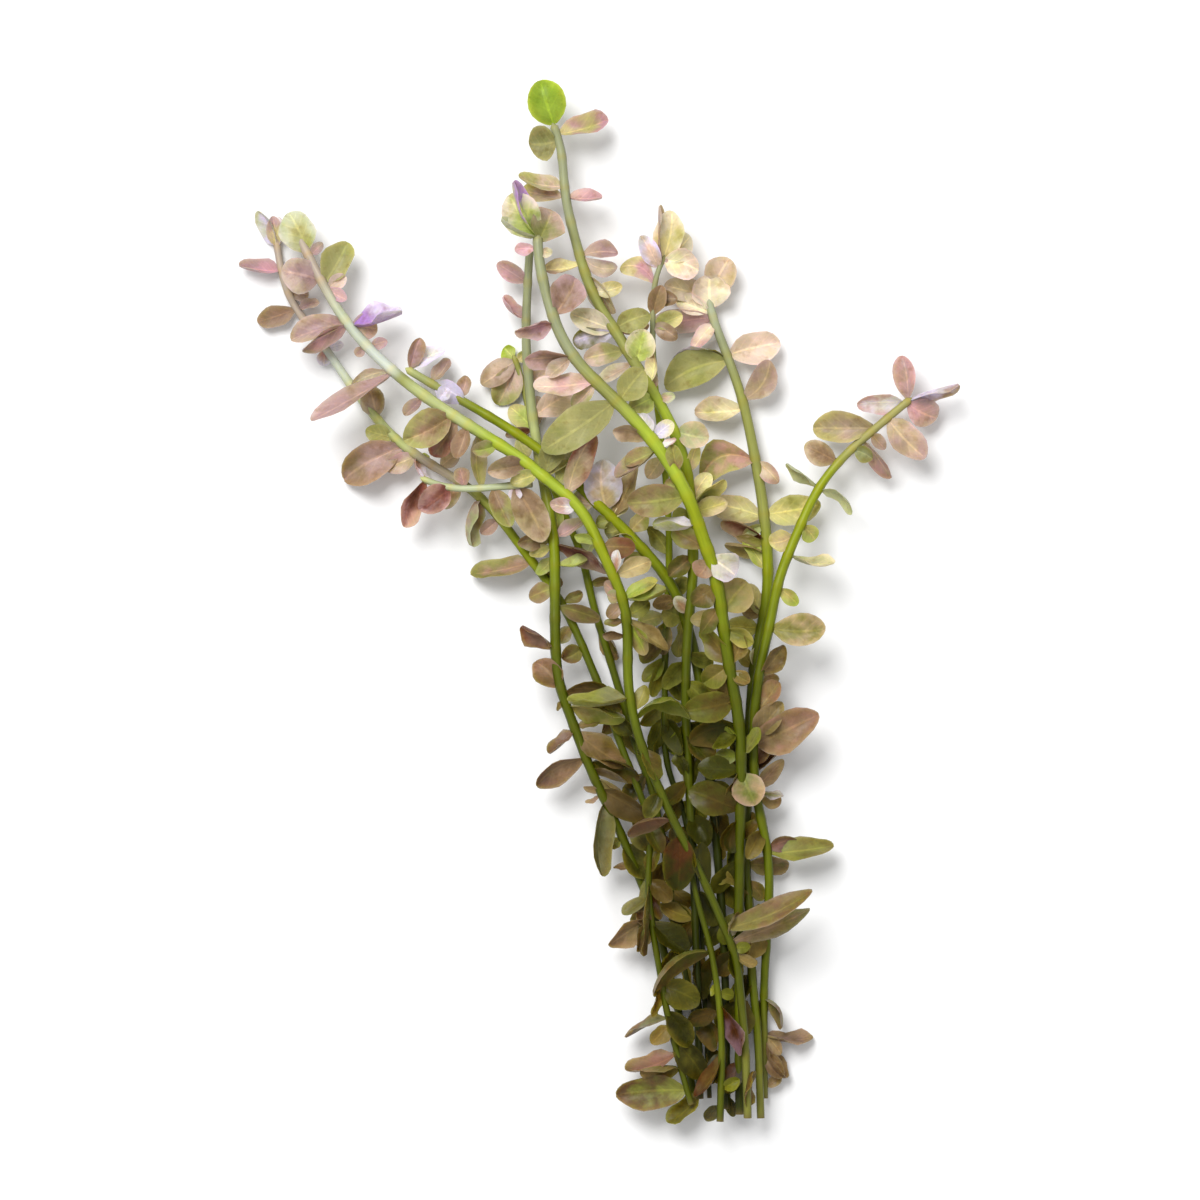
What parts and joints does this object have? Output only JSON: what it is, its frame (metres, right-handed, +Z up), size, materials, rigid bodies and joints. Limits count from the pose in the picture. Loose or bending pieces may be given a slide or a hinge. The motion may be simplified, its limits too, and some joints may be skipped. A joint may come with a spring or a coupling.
{
  "type": "aquarium plant bunch",
  "caption": "Loose bunch of cut rotala shoots lying on its back, with thick green stems and opposite pairs of small oval leaves in green, peach and mauve.",
  "frame": {"origin": "middle of the bunch in the plane of the surface it lies on, at the height of that surface", "axes": "+Y from the cut ends to the tips, +X across the bunch, +Z up from the surface towards the viewer"},
  "size_m": [0.1446, 0.2084, 0.0191],
  "materials": {
    "fresh_shoot": "satin, yellow-green living stem with peach and green leaves",
    "pale_shoot": "satin, pale green living stem with peach leaves",
    "olive_shoot": "satin, olive living stem with brown-green leaves",
    "russet_shoot": "satin, green living stem with mauve-brown leaves"
  },
  "bodies": {
    "root": {"left_shoot": "fresh_shoot", "front_shoot": "pale_shoot", "far_right_shoot": "pale_shoot", "crown_shoot": "fresh_shoot", "far_left_shoot": "russet_shoot", "mid_left_shoot": "olive_shoot", "inner_left_shoot": "fresh_shoot", "inner_right_shoot": "pale_shoot", "right_shoot": "pale_shoot", "back_left_shoot": "olive_shoot", "low_left_shoot": "pale_shoot", "low_shoot": "fresh_shoot"}
  },
  "joints": []
}
